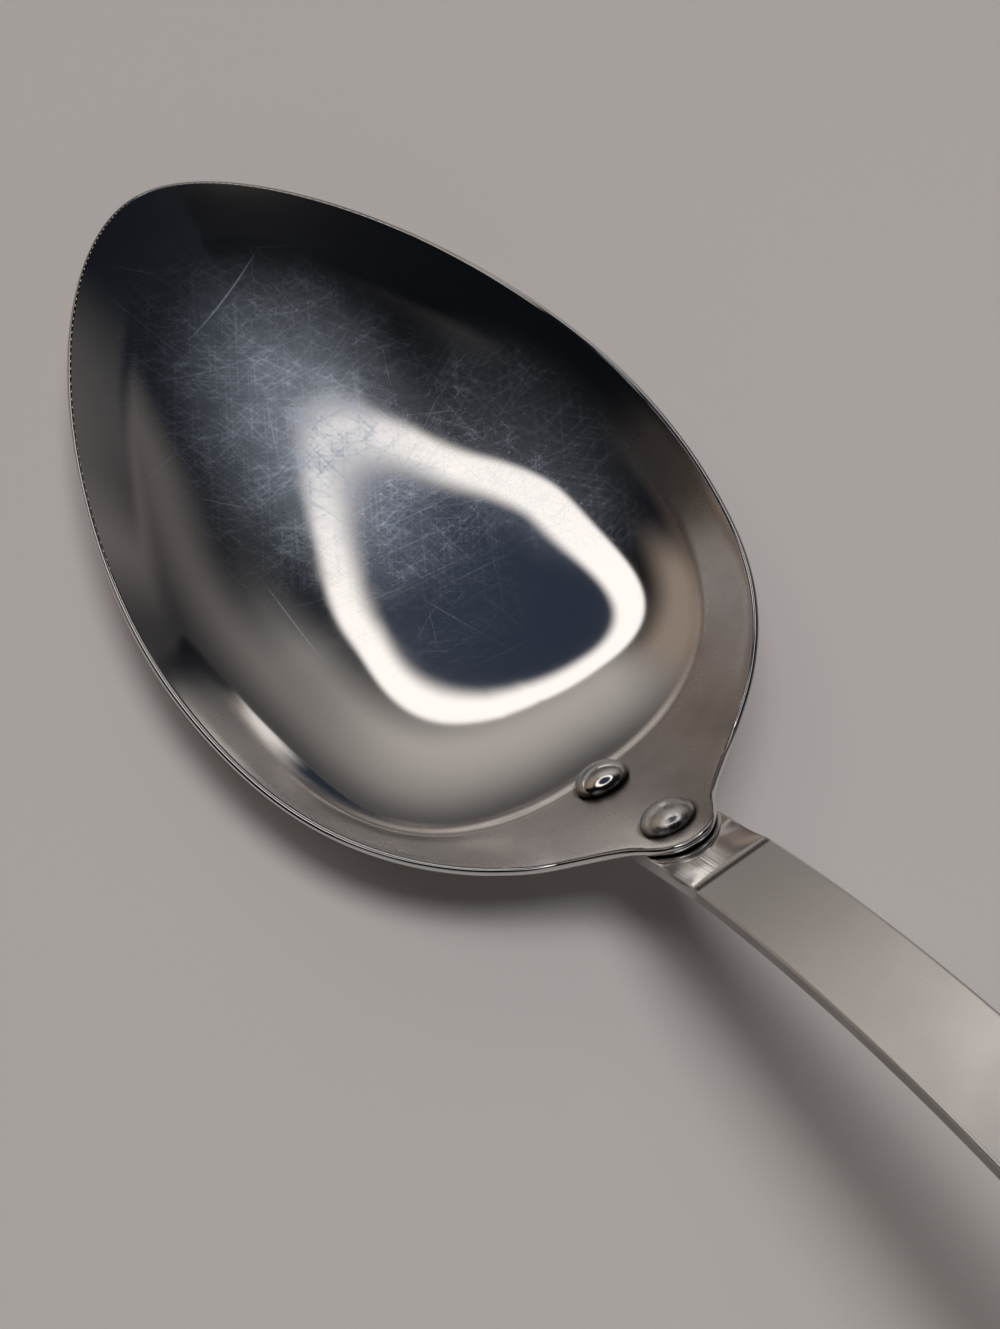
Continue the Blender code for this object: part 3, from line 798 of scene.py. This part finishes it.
# Table: the plain pale surface that the spoon rests on, a matt warm grey. It is no part of
# the spoon.
TABLE_SIZE = 8.0
TABLE_COLOUR = (0.435, 0.408, 0.396, 1.0)
table_mesh = bpy.data.meshes.new("table")
corners = [(x * TABLE_SIZE / 2, y * TABLE_SIZE / 2, 0.0)
           for x, y in ((-1, -1), (1, -1), (1, 1), (-1, 1))]
table_mesh.from_pydata(corners, [], [(0, 1, 2, 3)])
table = bpy.data.objects.new("table", table_mesh)
bpy.context.scene.collection.objects.link(table)
table_finish = bpy.data.materials.new("table_cloth")
table_finish.use_nodes = True
table_shader = table_finish.node_tree.nodes["Principled BSDF"]
table_shader.inputs["Base Color"].default_value = TABLE_COLOUR
table_shader.inputs["Roughness"].default_value = 0.95
table_shader.inputs["Specular IOR Level"].default_value = 0.1
table_mesh.materials.append(table_finish)

# Light: a bright ring overhead, off the tip of the bowl, in a dim room with paler walls that
# the polish mirrors. Two soft lamps light the table and don't show in the steel.
RING_CENTRE = Vector((-0.645, 0.005, 1.0))
RING_REACH = Vector((0.530, 0.650, 1.0))
RING_EDGE = 0.05
HOLE_CENTRE = Vector((-0.596, 0.070, 1.0))
HOLE_REACH = Vector((0.396, 0.396, 1.0))
HOLE_EDGE = 0.13
RING_COLOUR = (1.58, 1.50, 1.43, 1.0)
HOLE_COLOUR = (0.030, 0.040, 0.066, 1.0)
CEILING_COLOUR = (0.009, 0.011, 0.016, 1.0)
SHADE_COLOUR = (0.004, 0.0045, 0.006, 1.0)
END_COLOUR = (0.60, 0.553, 0.516, 1.0)
NEAR_COLOUR = (0.37, 0.295, 0.24, 1.0)
FAR_COLOUR = (0.130, 0.116, 0.112, 1.0)
BACK_COLOUR = (0.34, 0.328, 0.32, 1.0)
CEILING_SPREAD = (-0.5, 0.5)
LEAST_HEIGHT = 0.02

# Each wall: its bearing, how it comes in towards that bearing, the heights over which it ends
# at the top and grows brighter from its foot, and how light the foot is.
FAR_WALL = {"bearing": math.pi / 2, "spread": (0.2, 0.9), "top": (0.34, 0.60),
            "foot": (0.06, 0.38), "foot_light": 0.15}
BACK_WALL = {"bearing": math.radians(-15.0), "spread": (0.17, 0.55), "top": (0.50, 0.85),
             "foot": (0.0, 0.5), "foot_light": 1.0}
NEAR_WALL = {"bearing": math.radians(205.0), "spread": (0.86, 0.98), "top": (0.54, 0.68),
             "foot": (0.10, 0.50), "foot_light": 0.50}
END_WALL = {"bearing": math.radians(160.0), "spread": (0.48, 1.05), "top": (0.58, 0.80),
            "foot": (0.10, 0.62), "foot_light": 0.16}
END_WALL_SIDE = (-0.22, 0.14)

world = bpy.data.worlds.new("studio")
bpy.context.scene.world = world
world.use_nodes = True
sky = Nodes(world.node_tree)
look = sky.add("ShaderNodeTexCoord")
height = sky.add("ShaderNodeSeparateXYZ", {}, {0: look}, output=2)


def bearing_share(bearing):
    """How nearly a direction lies towards a bearing, whatever its height."""
    level = sky.add("ShaderNodeVectorMath", {"operation": "MULTIPLY"}, {0: look, 1: (1.0, 1.0, 0.0)})
    level = sky.add("ShaderNodeVectorMath", {"operation": "NORMALIZE"}, {0: level})
    aim = (math.cos(bearing), math.sin(bearing), 0.0)
    return sky.add("ShaderNodeVectorMath", {"operation": "DOT_PRODUCT"}, {0: level, 1: aim}, output=1)


def oval_share(centre, reach, edge):
    """1 outside an oval of the overhead plane and 0 inside it, with a soft edge."""
    overhead = sky.add("ShaderNodeVectorMath", {"operation": "SCALE"},
                       {0: look, "Scale": 1.0 / height.larger(LEAST_HEIGHT)})
    away = sky.add("ShaderNodeVectorMath", {"operation": "SUBTRACT"}, {0: overhead, 1: centre})
    away = sky.add("ShaderNodeVectorMath", {"operation": "DIVIDE"}, {0: away, 1: reach})
    away = sky.add("ShaderNodeVectorMath", {"operation": "LENGTH"}, {0: away}, output=1)
    return sky.ramp(away, 1.0 - edge, 1.0 + edge)


def wall_share(bearing, spread, top, foot, foot_light):
    """How much of a wall shows in a direction, dimmer towards its foot."""
    wall = sky.ramp(bearing_share(bearing), *spread) * (1.0 - sky.ramp(height, *top))
    return wall * (foot_light + (1.0 - foot_light) * sky.ramp(height, *foot))


far_side = bearing_share(FAR_WALL["bearing"])
room = sky.mix(sky.ramp(far_side, *CEILING_SPREAD), SHADE_COLOUR, CEILING_COLOUR)
room = sky.mix(wall_share(**FAR_WALL), room, FAR_COLOUR)
room = sky.mix(wall_share(**BACK_WALL), room, BACK_COLOUR)
room = sky.mix(wall_share(**NEAR_WALL), room, NEAR_COLOUR)
room = sky.mix(wall_share(**END_WALL) * sky.ramp(far_side, *END_WALL_SIDE), room, END_COLOUR)
room = sky.mix(oval_share(RING_CENTRE, RING_REACH, RING_EDGE), RING_COLOUR, room)
room = sky.mix(oval_share(HOLE_CENTRE, HOLE_REACH, HOLE_EDGE), HOLE_COLOUR, room)
sky.feed(world.node_tree.nodes["Background"].inputs["Color"], room)

LAMP_DISTANCE = 1.2
LAMP_SIZE = 0.35
LAMPS = (("ring_lamp", Vector((-0.20, -0.06, 1.0)), 2.9),
         ("top_lamp", Vector((0.05, 0.06, 1.0)), 6.6))
for lamp_name, lamp_bearing, lamp_power in LAMPS:
    lamp_light = bpy.data.lights.new(lamp_name, "AREA")
    lamp_light.shape = "DISK"
    lamp_light.size = LAMP_SIZE
    lamp_light.energy = lamp_power
    lamp = bpy.data.objects.new(lamp_name, lamp_light)
    lamp.location = lamp_bearing.normalized() * LAMP_DISTANCE
    lamp.rotation_euler = lamp_bearing.to_track_quat("Z", "Y").to_euler()
    lamp.visible_glossy = False
    bpy.context.scene.collection.objects.link(lamp)

# Camera: at the photograph's viewing angle, placed from the tip of the bowl's rim and turned
# by its bearing and by how steeply it looks down.
CAMERA_FROM_TIP = Vector((0.16082, -0.05999, 0.19983))
CAMERA_BEARING = math.radians(-36.0)
CAMERA_DOWN_ANGLE = math.radians(63.7)
LENS = 72.0
SENSOR_WIDTH = 36.0
CLIP_START = 0.01
camera_data = bpy.data.cameras.new("camera")
camera_data.sensor_fit = "HORIZONTAL"
camera_data.sensor_width = SENSOR_WIDTH
camera_data.lens = LENS
camera_data.clip_start = CLIP_START
camera = bpy.data.objects.new("camera", camera_data)
camera.location = Vector((TIP_X, 0.0, RIM_HEIGHT)) + CAMERA_FROM_TIP
camera.rotation_euler = (math.pi / 2 - CAMERA_DOWN_ANGLE, 0.0, math.pi / 2 + CAMERA_BEARING)
bpy.context.scene.collection.objects.link(camera)
bpy.context.scene.camera = camera
bpy.context.scene.view_settings.view_transform = "Standard"
